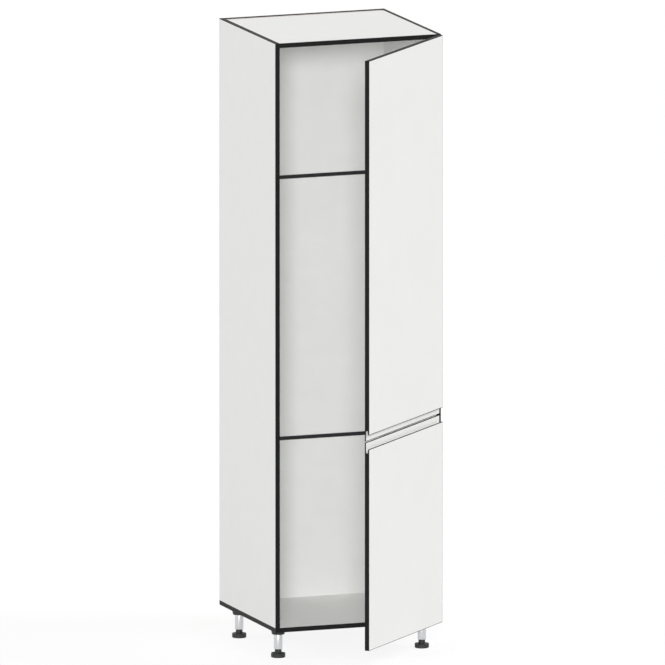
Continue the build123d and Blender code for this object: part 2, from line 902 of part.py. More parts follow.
leaves = (
    ("upper", upper_door_low, upper_door_high, 1, upper_hinges),
    ("lower", lower_door_high, lower_door_low, -1, lower_hinges),
)
for leaf_name, grip_edge, plain_edge, away, hinge_heights in leaves:
    save(door_panel(grip_edge, plain_edge, away, hinge_heights), f"{leaf_name}_door_panel")
    save(door_edging(grip_edge, plain_edge, away), f"{leaf_name}_door_edging")
    buffer_places = (grip_edge + away * (grip_rise + buffer_from_end), plain_edge - away * buffer_from_end)
    save(door_buffers(buffer_places), f"{leaf_name}_door_buffers")
    save(hinge_cups(hinge_heights), f"{leaf_name}_hinge_cups")
    save(cup_screws(hinge_heights), f"{leaf_name}_cup_screws")
    save(pins(door_pin, hinge_heights), f"{leaf_name}_cup_pins")
    save(outer_links(hinge_heights), f"{leaf_name}_outer_links")

all_hinges = upper_hinges + lower_hinges
save(hinge_arms(all_hinges), "hinge_arms")
save(pins(arm_pin, all_hinges), "arm_pins")
save(hinge_plates(all_hinges), "hinge_plates")
save(hinge_plate_screws(), "hinge_plate_screws")
save(clamp_screws(all_hinges), "clamp_screws")
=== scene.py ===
# %% [markdown]
# # A tall kitchen cabinet
# The cabinet is a white box of melamine-faced boards on four adjustable feet. Two white doors hang
# on its right side, one above the other, and stand half open. All its hard parts come from the CAD
# model, so this lesson dresses them: it sets the camera, gives each part the material of the real
# one, and adds the small things that CAD leaves plain, such as screw threads and moulded ribs.

import json
import math

import bmesh
import bpy
import numpy as np
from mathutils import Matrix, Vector


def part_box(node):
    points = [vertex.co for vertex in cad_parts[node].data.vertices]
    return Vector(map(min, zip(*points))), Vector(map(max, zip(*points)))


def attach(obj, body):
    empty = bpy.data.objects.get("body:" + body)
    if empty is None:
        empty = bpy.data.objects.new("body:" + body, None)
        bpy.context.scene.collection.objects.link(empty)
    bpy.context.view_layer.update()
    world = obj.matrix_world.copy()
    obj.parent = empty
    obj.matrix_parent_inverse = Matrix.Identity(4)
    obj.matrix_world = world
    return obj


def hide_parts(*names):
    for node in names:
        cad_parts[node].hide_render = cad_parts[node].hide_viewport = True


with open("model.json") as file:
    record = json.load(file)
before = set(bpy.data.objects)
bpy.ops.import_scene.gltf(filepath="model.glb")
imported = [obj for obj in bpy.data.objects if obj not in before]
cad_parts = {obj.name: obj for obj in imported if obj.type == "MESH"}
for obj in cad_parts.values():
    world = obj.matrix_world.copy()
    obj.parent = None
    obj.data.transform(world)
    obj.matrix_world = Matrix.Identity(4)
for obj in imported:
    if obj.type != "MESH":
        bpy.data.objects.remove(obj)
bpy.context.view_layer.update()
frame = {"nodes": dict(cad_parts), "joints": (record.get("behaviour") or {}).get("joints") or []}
nodes = frame["nodes"]
MM = 0.001

# %% [markdown]
# ## Camera
# The drawing has no perspective: its parallel edges stay parallel. It looks from 20 degrees left of
# the front and 10 degrees above, at 3.4087 mm to a pixel. An orthographic camera could draw that,
# but a very long lens, far away, draws almost the same. It is aimed so that the carcass's lower
# front left corner falls on the pixel where the drawing has it.


# %% Directions and objects
def direction(azimuth, elevation):
    """Unit vector that points azimuth degrees right of the front and elevation degrees up."""
    a, e = math.radians(azimuth), math.radians(elevation)
    return Vector((math.sin(a) * math.cos(e), -math.cos(a) * math.cos(e), math.sin(e)))


def add_object(name, data):
    """Puts a camera, mesh or lamp into the scene as an object at the origin."""
    made = bpy.data.objects.new(name, data)
    bpy.context.scene.collection.objects.link(made)
    return made


print("The front looks along", tuple(direction(0, 0)))

# %% Place the camera
PHOTO_PIXELS = 665
METRES_PER_PIXEL = 3.4087 * MM
AZIMUTH, ELEVATION = -20, 10
CORNER_PIXEL = (275.6, 633.0)
LENS_MM = 1690.0
SENSOR_MM = 36.0

corner = Vector(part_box("bottom_edging")[0])
toward = direction(AZIMUTH, ELEVATION)
sideways = direction(AZIMUTH + 90, 0)
upward = toward.cross(sideways)
centre = (
    corner
    + sideways * (PHOTO_PIXELS / 2 - CORNER_PIXEL[0]) * METRES_PER_PIXEL
    - upward * (PHOTO_PIXELS / 2 - CORNER_PIXEL[1]) * METRES_PER_PIXEL
)
distance = PHOTO_PIXELS * METRES_PER_PIXEL * LENS_MM / SENSOR_MM
lens = bpy.data.cameras.new("drawing_camera")
lens.lens = LENS_MM
lens.sensor_width = SENSOR_MM
lens.clip_end = 2 * distance
camera = add_object("drawing_camera", lens)
camera.location = centre + toward * distance
camera.rotation_euler = (-toward).to_track_quat("-Z", "Y").to_euler()
bpy.context.scene.camera = camera
print("Camera distance in metres:", round(distance, 2))

# %% [markdown]
# ## Colour and node helpers
# Colours are written as the sRGB hex values that a colour picker shows. Shaders work in linear
# light, so one function converts them. A second one adds a node, sets it and links it, which keeps
# each material below as a short list of what it is made of.


# %% Colours
def linear(hex_colour):
    """sRGB hex to linear RGBA, channel by channel.

    Up to 0.04045 a channel is divided by 12.92. Above, it is (c + 0.055) / 1.055, to the power 2.4.
    """
    channels = np.array([int(hex_colour[i : i + 2], 16) for i in (0, 2, 4)]) / 255
    straight = channels / 12.92
    curved = ((channels + 0.055) / 1.055) ** 2.4
    return (*np.where(channels <= 0.04045, straight, curved).tolist(), 1.0)


print("Mid grey 808080 in linear light:", round(linear("808080")[0], 3))

# %% Nodes
# A Mix node has inputs and an output for each kind of data, which only their numbers tell apart.
FACTOR = 0
NUMBER_A, NUMBER_B, NUMBER_OUT = 2, 3, 0
VECTOR_A, VECTOR_B, VECTOR_OUT = 4, 5, 1
COLOUR_A, COLOUR_B, COLOUR_OUT = 6, 7, 2


def add_node(owner, kind, links=None, values=None, **settings):
    """Adds a node to a material or world, sets it, and links its inputs to other nodes' outputs."""
    tree = owner.node_tree
    made = tree.nodes.new(kind)
    for name, value in settings.items():
        setattr(made, name, value)
    for name, value in (values or {}).items():
        made.inputs[name].default_value = value
    for name, (other, output) in (links or {}).items():
        tree.links.new(other.outputs[output], made.inputs[name])
    return made


def start_material(name):
    """A material with no nodes yet."""
    material = bpy.data.materials.new(name)
    material.use_nodes = True
    material.node_tree.nodes.clear()
    return material


def finish_material(material, shader):
    """Links the last shader to the material's surface."""
    add_node(material, "ShaderNodeOutputMaterial", {"Surface": (shader, 0)})
    return material


print("Materials so far:", len(bpy.data.materials))

# %% [markdown]
# ## White melamine board
# The carcass is chipboard faced with melamine foil, pressed against a steel sheet with a fine pearl
# grain. To the eye it is an even, nearly matt white whose highlights break up a little. Where a
# board is cut, such as at its rear edge, in its grooves and in its holes, the chipboard core shows:
# tan chips a few millimetres long. Foil and core could be two materials on separate faces. One
# material that tells the cut faces by the direction they face needs no picking of faces.

# %% Chipboard core
COARSE_CHIP_MM, FINE_CHIP_MM, BEND_MM = 1.8, 0.7, 4


def chipboard_core(material, place):
    """Coarse and fine chips, 2.5 times as long along Z as across. Gives back colour and relief."""
    # A noise bends both sizes of chip by up to 1.5 mm, so that they lean.
    bend = add_node(
        material,
        "ShaderNodeTexNoise",
        {"Vector": (place, "Object")},
        {"Scale": 1 / (BEND_MM * MM), "Detail": 2.0},
    )
    lean = add_node(
        material,
        "ShaderNodeMix",
        {VECTOR_A: (place, "Object"), VECTOR_B: (bend, "Color")},
        {FACTOR: 1.5 * MM},
        data_type="VECTOR",
    )
    stretch = add_node(
        material, "ShaderNodeMapping", {"Vector": (lean, VECTOR_OUT)}, {"Scale": (1.0, 1.0, 0.4)}
    )
    chips, fines = [
        add_node(
            material,
            "ShaderNodeTexVoronoi",
            {"Vector": (stretch, 0)},
            {"Scale": 1 / (size * MM), "Randomness": 1.0},
        )
        for size in (COARSE_CHIP_MM, FINE_CHIP_MM)
    ]
    chip_tone = add_node(material, "ShaderNodeSeparateColor", {0: (chips, "Color")})
    fine_tone = add_node(material, "ShaderNodeSeparateColor", {0: (fines, "Color")})
    tone = add_node(
        material,
        "ShaderNodeMix",
        {NUMBER_A: (chip_tone, "Red"), NUMBER_B: (fine_tone, "Green")},
        {FACTOR: 0.5},
    )
    tans = add_node(material, "ShaderNodeValToRGB", {"Fac": (tone, NUMBER_OUT)})
    stops = tans.color_ramp.elements
    stops.new(0.45)
    for stop, position, tan in zip(stops, (0.1, 0.45, 0.9), ("8A6D47", "C4A97D", "E0CBA4")):
        stop.position, stop.color = position, linear(tan)
    return tans, chips


print("Chips are", COARSE_CHIP_MM, "and", FINE_CHIP_MM, "mm across")


# %% White melamine board
def melamine_board(name, foil_axis):
    """Foil on the faces along foil_axis, 0 to 2 for X to Z, and chipboard on all cut faces."""
    material = start_material(name)
    # Gives each point's place on the piece, in metres, and the direction its face looks in.
    place = add_node(material, "ShaderNodeTexCoord")
    tans, chips = chipboard_core(material, place)
    facing = add_node(material, "ShaderNodeSeparateXYZ", {"Vector": (place, "Normal")})
    size = add_node(material, "ShaderNodeMath", {0: (facing, foil_axis)}, operation="ABSOLUTE")
    # A face is cut where it leans more than 45 degrees from the foil's.
    cut = add_node(material, "ShaderNodeMath", {0: (size, 0)}, {1: 0.7}, operation="LESS_THAN")
    # Pearl grain is about 0.4 mm wide on the real foil. Drawn at 1.6 mm, because finer is lost.
    # The cloud is the unevenness of a paper-thin foil over chips, about 60 mm across.
    pearl, cloud = [
        add_node(
            material,
            "ShaderNodeTexNoise",
            {"Vector": (place, "Object")},
            {"Scale": 1 / (width * MM), "Detail": detail},
        )
        for width, detail in ((1.6, 2.0), (60, 3.0))
    ]
    foil = add_node(
        material,
        "ShaderNodeMix",
        {FACTOR: (cloud, "Fac")},
        {COLOUR_A: linear("F1F1EF"), COLOUR_B: linear("F5F5F4")},
        data_type="RGBA",
    )
    colour = add_node(
        material,
        "ShaderNodeMix",
        {FACTOR: (cut, 0), COLOUR_A: (foil, COLOUR_OUT), COLOUR_B: (tans, 0)},
        data_type="RGBA",
    )
    rough = add_node(
        material, "ShaderNodeMapRange", {"Value": (cut, 0)}, {"To Min": 0.42, "To Max": 0.9}
    )
    height = add_node(
        material,
        "ShaderNodeMix",
        {FACTOR: (cut, 0), NUMBER_A: (pearl, "Fac"), NUMBER_B: (chips, "Distance")},
    )
    strength = add_node(
        material, "ShaderNodeMapRange", {"Value": (cut, 0)}, {"To Min": 0.08, "To Max": 0.8}
    )
    grain = add_node(
        material,
        "ShaderNodeBump",
        {"Height": (height, NUMBER_OUT), "Strength": (strength, 0)},
        {"Distance": 0.05 * MM},
    )
    # Melamine resin: IOR 1.6.
    shader = add_node(
        material,
        "ShaderNodeBsdfPrincipled",
        {"Base Color": (colour, COLOUR_OUT), "Roughness": (rough, 0), "Normal": (grain, 0)},
        {"IOR": 1.6},
    )
    return finish_material(material, shader)


melamine_upright = melamine_board("white_melamine_upright", 0)
melamine_level = melamine_board("white_melamine_level", 2)
melamine_rear = melamine_board("white_melamine_rear", 1)
print("Boards:", melamine_upright.name, melamine_level.name, melamine_rear.name)

# %% [markdown]
# ## Satin white lacquer
# The doors are MDF, because only MDF takes a milled grip, sprayed with white polyurethane lacquer
# in several coats. A sprayed coat levels almost flat and keeps a faint orange peel, low waves a few
# millimetres long that show only where a highlight crosses them. Waves in the mesh would take
# millions of faces, so a bump bends the light instead.


# %% Satin white lacquer
def satin_lacquer():
    """White lacquer on MDF: orange peel in two sizes, in both relief and gloss."""
    material = start_material("satin_white_lacquer")
    place = add_node(material, "ShaderNodeTexCoord")
    # Orange peel of 4 mm, fine spray mist of 1.2 mm, and a drift in the white over 180 mm.
    peel, mist, drift = [
        add_node(
            material,
            "ShaderNodeTexNoise",
            {"Vector": (place, "Object")},
            {"Scale": 1 / (width * MM), "Detail": detail},
        )
        for width, detail in ((4, 1.0), (1.2, 2.0), (180, 2.0))
    ]
    colour = add_node(
        material,
        "ShaderNodeMix",
        {FACTOR: (drift, "Fac")},
        {COLOUR_A: linear("F3F3F1"), COLOUR_B: linear("F8F8F7")},
        data_type="RGBA",
    )
    rough = add_node(
        material, "ShaderNodeMapRange", {"Value": (mist, "Fac")}, {"To Min": 0.27, "To Max": 0.37}
    )
    waves = add_node(
        material,
        "ShaderNodeBump",
        {"Height": (peel, "Fac")},
        {"Strength": 0.25, "Distance": 0.06 * MM},
    )
    relief = add_node(
        material,
        "ShaderNodeBump",
        {"Height": (mist, "Fac"), "Normal": (waves, 0)},
        {"Strength": 0.15, "Distance": 0.02 * MM},
    )
    # Polyurethane: IOR 1.5, with the clear top of the coat as a thin second gloss.
    shader = add_node(
        material,
        "ShaderNodeBsdfPrincipled",
        {"Base Color": (colour, COLOUR_OUT), "Roughness": (rough, 0), "Normal": (relief, 0)},
        {"IOR": 1.5, "Coat Weight": 0.15, "Coat Roughness": 0.2},
    )
    return finish_material(material, shader)


lacquer = satin_lacquer()
print("Doors:", lacquer.name)

# %% [markdown]
# ## Black ABS edge band
# The drawing's thick lines run along every board edge, so the bands are black: 2 mm ABS, glued on
# and rounded over with a cutter. They could be lines painted on white boards, but the CAD has them
# as solids, so a material is enough. ABS band has a fine embossed grain that keeps it nearly matt,
# and its black drifts a little from one length to the next.


# %% Black ABS edge band
def abs_band():
    """Black ABS with a fine grain in its relief and gloss, and a slow drift in its black."""
    material = start_material("black_abs_edge_band")
    place = add_node(material, "ShaderNodeTexCoord")
    # Embossed grain of 0.5 mm, drawn at 1.5 mm so that it shows, and a drift over 90 mm.
    grain, drift = [
        add_node(
            material,
            "ShaderNodeTexNoise",
            {"Vector": (place, "Object")},
            {"Scale": 1 / (width * MM), "Detail": detail},
        )
        for width, detail in ((1.5, 3.0), (90, 2.0))
    ]
    colour = add_node(
        material,
        "ShaderNodeMix",
        {FACTOR: (drift, "Fac")},
        {COLOUR_A: linear("0C0C0D"), COLOUR_B: linear("141415")},
        data_type="RGBA",
    )
    rough = add_node(
        material, "ShaderNodeMapRange", {"Value": (grain, "Fac")}, {"To Min": 0.5, "To Max": 0.66}
    )
    relief = add_node(
        material,
        "ShaderNodeBump",
        {"Height": (grain, "Fac")},
        {"Strength": 0.35, "Distance": 0.04 * MM},
    )
    # ABS: IOR 1.54. Its embossing scatters most of the mirror-like part of the shine.
    shader = add_node(
        material,
        "ShaderNodeBsdfPrincipled",
        {"Base Color": (colour, COLOUR_OUT), "Roughness": (rough, 0), "Normal": (relief, 0)},
        {"IOR": 1.54, "Specular IOR Level": 0.15},
    )
    return finish_material(material, shader)


band = abs_band()
print("Edges:", band.name)

# %% [markdown]
# ## Hardboard back
# The back is 3 mm hardboard, printed white on the side that faces the room. Its rear side and its
# edges are raw: warm brown fibre, with the imprint of the wire screen it was pressed on. A sheet's
# two sides could have two materials. Here the printed side is told by the direction it faces, as
# on the boards, and two waves multiplied give the imprint.


# %% Brown fibre and its screen
FIBRE_MM = 9
# The screen's wires lie 1.2 mm apart. Drawn at 4 mm, because finer doesn't show.
WIRE_MM = 4
# At scale 1 a wave texture turns by 20 radians in a metre.
WAVE_TURN = 20


def pressed_fibre(material, place):
    """Gives back the colour of raw hardboard, and the relief of two crossed sets of wires."""
    fibre = add_node(
        material,
        "ShaderNodeTexNoise",
        {"Vector": (place, "Object")},
        {"Scale": 1 / (FIBRE_MM * MM), "Detail": 8.0},
    )
    browns = add_node(material, "ShaderNodeValToRGB", {"Fac": (fibre, "Fac")})
    stops = browns.color_ramp.elements
    for stop, position, brown in zip(stops, (0.3, 0.7), ("6E4B2E", "9A7349")):
        stop.position, stop.color = position, linear(brown)
    wires = [
        add_node(
            material,
            "ShaderNodeTexWave",
            {"Vector": (place, "Object")},
            {"Scale": 2 * math.pi / (WAVE_TURN * WIRE_MM * MM), "Distortion": 0.4},
            bands_direction=axis,
        )
        for axis in "XZ"
    ]
    screen = add_node(
        material,
        "ShaderNodeMath",
        {0: (wires[0], "Fac"), 1: (wires[1], "Fac")},
        operation="MULTIPLY",
    )
    return browns, screen


print("The screen is drawn with a wire every", WIRE_MM, "mm")


# %% Hardboard back
def hardboard():
    """White print where the face looks forward, and brown screened fibre elsewhere."""
    material = start_material("hardboard_back")
    place = add_node(material, "ShaderNodeTexCoord")
    browns, screen = pressed_fibre(material, place)
    facing = add_node(material, "ShaderNodeSeparateXYZ", {"Vector": (place, "Normal")})
    # The printed side looks along -Y, so a face is raw where Y is more than -0.5.
    rear = add_node(
        material, "ShaderNodeMath", {0: (facing, "Y")}, {1: -0.5}, operation="GREATER_THAN"
    )
    cloud = add_node(
        material,
        "ShaderNodeTexNoise",
        {"Vector": (place, "Object")},
        {"Scale": 1 / (70 * MM), "Detail": 3.0},
    )
    white = add_node(
        material,
        "ShaderNodeMix",
        {FACTOR: (cloud, "Fac")},
        {COLOUR_A: linear("EDEDEB"), COLOUR_B: linear("F4F4F3")},
        data_type="RGBA",
    )
    colour = add_node(
        material,
        "ShaderNodeMix",
        {FACTOR: (rear, 0), COLOUR_A: (white, COLOUR_OUT), COLOUR_B: (browns, 0)},
        data_type="RGBA",
    )
    rough = add_node(
        material, "ShaderNodeMapRange", {"Value": (rear, 0)}, {"To Min": 0.45, "To Max": 0.85}
    )
    imprint = add_node(
        material, "ShaderNodeMath", {0: (screen, 0), 1: (rear, 0)}, operation="MULTIPLY"
    )
    relief = add_node(
        material,
        "ShaderNodeBump",
        {"Height": (imprint, 0)},
        {"Strength": 0.5, "Distance": 0.2 * MM},
    )
    # Printed hardboard: IOR 1.5.
    shader = add_node(
        material,
        "ShaderNodeBsdfPrincipled",
        {"Base Color": (colour, COLOUR_OUT), "Roughness": (rough, 0), "Normal": (relief, 0)},
        {"IOR": 1.5},
    )
    return finish_material(material, shader)


back_board = hardboard()
print("Back:", back_board.name)

# %% [markdown]
# ## Metals of the fittings
# Hinges are pressed from steel strip and plated with nickel: warm, bright, with the soft lustre of
# a plated surface that was tumbled, not polished. Screws are zinc plated, cooler and duller. Cams
# are bare zinc castings, and the leg tubes are anodised aluminium, drawn lengthwise. Each could be
# built by hand, but they differ only in colour, gloss and in the size and direction of their marks,
# so one function makes them all. Their real marks are a few tenths of a millimetre wide. They are
# drawn at 0.6 mm to 1.5 mm, because finer doesn't show.


# %% Finishes with one grain
def grained(name, tones, gloss, grain_mm, stretch, relief, **shine):
    """A finish whose grain is noise of grain_mm, stretched per axis, in colour, gloss and relief.

    tones are its darkest and lightest colour, gloss its lowest and highest roughness, relief the
    bump's strength and its depth in millimetres, and shine what else the shader is given.
    """
    material = start_material(name)
    place = add_node(material, "ShaderNodeTexCoord")
    along = add_node(
        material, "ShaderNodeMapping", {"Vector": (place, "Object")}, {"Scale": stretch}
    )
    grain = add_node(
        material,
        "ShaderNodeTexNoise",
        {"Vector": (along, 0)},
        {"Scale": 1 / (grain_mm * MM), "Detail": 4.0},
    )
    colour = add_node(
        material,
        "ShaderNodeMix",
        {FACTOR: (grain, "Fac")},
        {COLOUR_A: linear(tones[0]), COLOUR_B: linear(tones[1])},
        data_type="RGBA",
    )
    rough = add_node(
        material,
        "ShaderNodeMapRange",
        {"Value": (grain, "Fac")},
        {"To Min": gloss[0], "To Max": gloss[1]},
    )
    bumps = add_node(
        material,
        "ShaderNodeBump",
        {"Height": (grain, "Fac")},
        {"Strength": relief[0], "Distance": relief[1] * MM},
    )
    shader = add_node(
        material,
        "ShaderNodeBsdfPrincipled",
        {"Base Color": (colour, COLOUR_OUT), "Roughness": (rough, 0), "Normal": (bumps, 0)},
        shine,
    )
    return finish_material(material, shader)


EVEN, UP_A_TUBE, ACROSS_THE_BACK = (1, 1, 1), (1, 1, 0.04), (0.03, 1, 1)
print("Marks on a tube are", round(1 / UP_A_TUBE[2]), "times as long as they are wide")

# %% Metals of the fittings
# Pressed, tumbled and plated: warm and bright, with soft highlights.
nickel = grained(
    "nickel_plated_steel",
    tones=("CBC7BF", "DEDAD3"),
    gloss=(0.24, 0.34),
    grain_mm=1.5,
    stretch=EVEN,
    relief=(0.3, 0.005),
    Metallic=1.0,
)
# Plated in a barrel: cooler, and duller in spots.
zinc = grained(
    "zinc_plated_steel",
    tones=("A4A9AE", "C3C8CC"),
    gloss=(0.3, 0.45),
    grain_mm=0.8,
    stretch=EVEN,
    relief=(0.3, 0.02),
    Metallic=1.0,
)
# Cast in a die and left bare: grey, with a rough skin that breaks highlights up.
zinc_casting = grained(
    "zinc_casting",
    tones=("8B8D90", "A9ABAE"),
    gloss=(0.45, 0.6),
    grain_mm=1.2,
    stretch=EVEN,
    relief=(0.3, 0.05),
    Metallic=1.0,
)
# Drawn lengthwise and anodised: pale, with long faint lines up the tube.
aluminium = grained(
    "anodised_aluminium",
    tones=("BFC1C3", "D6D8D9"),
    gloss=(0.3, 0.42),
    grain_mm=0.6,
    stretch=UP_A_TUBE,
    relief=(0.3, 0.02),
    Metallic=1.0,
)
print("Metals:", nickel.name, zinc.name, zinc_casting.name, aluminium.name)

# %% [markdown]
# ## Moulded plastics, beech and the clear buffers
# Sockets and feet are black polypropylene, moulded in a spark-eroded tool, which gives an even matt
# grain. The profiles across the back are extruded PVC, smoother and with faint lines along them.
# Both could be plain black, but a grain is what tells plastic from paint, so the function for
# the metals makes them too, without the metal. Dowels are raw beech with small dark flecks, and the
# buffers are clear soft polyurethane: these need a ramp and a see-through shader of their own.

# %% Moulded plastics
# Moulded in a spark-eroded tool: an even matt grain. Polypropylene: IOR 1.5.
polypropylene = grained(
    "black_polypropylene",
    tones=("131314", "1C1C1E"),
    gloss=(0.45, 0.62),
    grain_mm=0.8,
    stretch=EVEN,
    relief=(0.5, 0.06),
    IOR=1.5,
)
# Extruded: smoother, with faint lines along it. PVC: IOR 1.5.
profile_pvc = grained(
    "black_pvc_profile",
    tones=("18181A", "212124"),
    gloss=(0.3, 0.4),
    grain_mm=1.0,
    stretch=ACROSS_THE_BACK,
    relief=(0.5, 0.03),
    IOR=1.5,
)
print("Plastics:", polypropylene.name, profile_pvc.name)


# %% Beech
def raw_beech():
    """Beech: warm tan with fine dark flecks 1 mm wide and 3 mm long."""
    material = start_material("raw_beech")
    place = add_node(material, "ShaderNodeTexCoord")
    along = add_node(
        material, "ShaderNodeMapping", {"Vector": (place, "Object")}, {"Scale": (1, 1, 0.3)}
    )
    flecks = add_node(
        material,
        "ShaderNodeTexNoise",
        {"Vector": (along, 0)},
        {"Scale": 1 / (1.0 * MM), "Detail": 3.0},
    )
    tans = add_node(material, "ShaderNodeValToRGB", {"Fac": (flecks, "Fac")})
    stops = tans.color_ramp.elements
    for stop, position, tan in zip(stops, (0.35, 0.55), ("A87C4F", "D2AC7C")):
        stop.position, stop.color = position, linear(tan)
    relief = add_node(
        material,
        "ShaderNodeBump",
        {"Height": (flecks, "Fac")},
        {"Strength": 0.3, "Distance": 0.05 * MM},
    )
    shader = add_node(
        material,
        "ShaderNodeBsdfPrincipled",
        {"Base Color": (tans, 0), "Normal": (relief, 0)},
        {"Roughness": 0.7, "IOR": 1.5},
    )
    return finish_material(material, shader)


beech = raw_beech()
print("Dowels:", beech.name)


# %% Clear buffer
def clear_polyurethane():
    """Clear soft polyurethane, faintly cloudy, with dust that dulls it in patches of 2 mm."""
    material = start_material("clear_polyurethane")
    place = add_node(material, "ShaderNodeTexCoord")
    dust = add_node(
        material,
        "ShaderNodeTexNoise",
        {"Vector": (place, "Object")},
        {"Scale": 1 / (2 * MM), "Detail": 3.0},
    )
    rough = add_node(
        material, "ShaderNodeMapRange", {"Value": (dust, "Fac")}, {"To Min": 0.12, "To Max": 0.3}
    )
    shader = add_node(
        material,
        "ShaderNodeBsdfPrincipled",
        {"Roughness": (rough, 0)},
        {"Base Color": linear("F2F5F6"), "Transmission Weight": 0.85, "IOR": 1.5},
    )
    return finish_material(material, shader)


buffer_plastic = clear_polyurethane()
print("Buffers:", buffer_plastic.name)

# %% [markdown]
# ## Dress the CAD parts
# Each CAD part could be modelled again here, but its shape is right already. So it keeps its mesh
# and only gets a material in its slots. The table names the parts by finish.

# %% Dress the CAD parts
DRESS = {
    melamine_upright: ("left_side_panel", "right_side_panel"),
    melamine_level: ("bottom_panel", "top_panel"),
    melamine_rear: ("top_rail",),
    lacquer: ("upper_door_panel", "lower_door_panel"),
    band: (
        "left_side_edging",
        "right_side_edging",
        "bottom_edging",
        "top_edging",
        "top_rail_edging",
        "upper_door_edging",
        "lower_door_edging",
    ),
    back_board: ("lower_back_sheet", "middle_back_sheet", "upper_back_sheet"),
    profile_pvc: ("lower_back_joint_strip", "upper_back_joint_strip"),
    nickel: (
        "upper_hinge_cups",
        "lower_hinge_cups",
        "upper_outer_links",
        "lower_outer_links",
        "hinge_arms",
        "hinge_plates",
    ),
    zinc: (
        "upper_cup_screws",
        "lower_cup_screws",
        "upper_cup_pins",
        "lower_cup_pins",
        "arm_pins",
        "hinge_plate_screws",
        "clamp_screws",
        "leg_screws",
        "confirmat_screws",
        "cam_bolts",
    ),
    zinc_casting: ("cam_locks",),
    aluminium: ("leg_tubes",),
    polypropylene: (
        "leg_sockets",
        "front_left_foot",
        "back_left_foot",
        "front_right_foot",
        "back_right_foot",
    ),
    beech: ("wood_dowels",),
    buffer_plastic: ("upper_door_buffers", "lower_door_buffers"),
}
for material, names in DRESS.items():
    for name in names:
        part = nodes[name]
        part.data.materials.clear()
        part.data.materials.append(material)
dressed = {name for names in DRESS.values() for name in names}
print("Dressed:", len(dressed), "left plain:", sorted(set(nodes) - dressed))

# %% [markdown]
# ## Shapes from profiles
# Screws, feet, dowels and buffers are turned shapes: a profile carried round an axis. Their threads
# and flutes could be cut afterwards, which leaves ragged meshes. Instead, each piece is worked out
# as whole arrays, and a shape function bends the grid, so that a thread, a flute or the cross in a
# screw's head is part of the same closed surface. All their sizes are in millimetres.


# %% Profiles
def rounded(corners, reach, steps=4):
    """Profile with its corners rounded: near corner B it follows (1-t)^2 A + 2t(1-t) B + t^2 C.

    A and C lie reach before and after B, or half way to the next corner where that is nearer.
    """
    corners = np.asarray(corners, float)
    corner = corners[1:-1]
    t = np.linspace(0, 1, steps)[None, :, None]
    ends = []
    for target in (corners[:-2], corners[2:]):
        run = target - corner
        length = np.linalg.norm(run, axis=1, keepdims=True)
        ends.append((corner + run * np.minimum(reach / length, 0.5))[:, None])
    arcs = (1 - t) ** 2 * ends[0] + 2 * t * (1 - t) * corner[:, None] + t**2 * ends[1]
    return np.vstack([corners[:1], arcs.reshape(-1, 2), corners[-1:]])


def divided(profile, spacing):
    """The same profile with more points: its own ones and one every spacing along it."""
    steps = np.linalg.norm(np.diff(profile, axis=0), axis=1)
    along = np.concatenate([[0], np.cumsum(steps)])
    regular = np.arange(0, along[-1], spacing)
    places = np.unique(np.round(np.concatenate([along, regular]), 4))
    return np.column_stack([np.interp(places, along, profile[:, k]) for k in (0, 1)])


def rise(value, low, high):
    """0 below low, 1 above high, and t^2 (3 - 2t) between them, with t going from 0 to 1."""
    t = np.clip((value - low) / (high - low), 0, 1)
    return t * t * (3 - 2 * t)


print("A rounded corner has", len(rounded([(0, 0), (5, 0), (5, 5)], 1)), "points")


# %% Turned shapes
def turning(profile, segments, shape=None):
    """Closed surface of revolution, whose point at angle a is (r cos a, r sin a, z).

    r and z run along the profile, from the lower pole to the upper one, and each pole lies level
    with the ring next to it. shape takes the grids r, a and z, and gives back r and z with threads,
    flutes or recesses in them.
    """
    rings = np.asarray(profile, float)[1:-1]
    angles = np.linspace(0, 2 * np.pi, segments, endpoint=False)
    r, a = np.meshgrid(rings[:, 0], angles, indexing="ij")
    z = np.repeat(rings[:, 1:], segments, axis=1)
    if shape:
        r, z = shape(r, a, z)
    grid = np.stack([r * np.cos(a), r * np.sin(a), z], axis=-1).reshape(-1, 3)
    poles = np.array([[0, 0, z[0].mean()], [0, 0, z[-1].mean()]])
    one = np.arange(segments)
    two = (one + 1) % segments
    row = np.arange(len(rings) - 1)[:, None] * segments
    quads = np.stack([row + one, row + two, row + segments + two, row + segments + one], axis=-1)
    top = (len(rings) - 1) * segments
    low_pole, high_pole = top + segments, top + segments + 1
    low_fan = np.stack([np.full(segments, low_pole), two, one], axis=-1)
    high_fan = np.stack([np.full(segments, high_pole), top + one, top + two], axis=-1)
    return np.vstack([grid, poles]), quads.reshape(-1, 4), np.vstack([low_fan, high_fan])


plain_rod = turning([(0, 0), (1, 0), (1, 9), (0, 9)], 12)
print("A plain rod of 12 segments has", len(plain_rod[0]), "points")


# %% Copies and pieces
UP, DOWN, LEFT, RIGHT = (0, 0, 1), (0, 0, -1), (-1, 0, 0), (1, 0, 0)
SHARP_ANGLE = math.radians(50)


def copies(shape, places):
    """The shape at each place: point p goes to origin + px X + py Y + pz Z, where Y is Z cross X.

    A place is the origin, the direction Z that the shape's axis points in, and the direction X.
    """
    points, quads, fans = shape
    origins, ups, sides = (np.array(part, float) for part in zip(*places))
    axes = np.stack([sides, np.cross(ups, sides), ups], axis=1)
    placed = origins[:, None] + np.einsum("pi,nij->npj", points, axes)
    shift = np.arange(len(places))[:, None, None] * len(points)
    return placed.reshape(-1, 3), (quads + shift).reshape(-1, 4), (fans + shift).reshape(-1, 3)


def stand_in(name, mesh, material, body, node):
    """A mesh as a piece in the scene, which rides on a body and stands for a CAD part."""
    mesh.materials.clear()
    mesh.materials.append(material)
    piece = add_object(name, mesh)
    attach(piece, body)
    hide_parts(node)
    print(name, "has", len(mesh.polygons), "faces")
    return piece


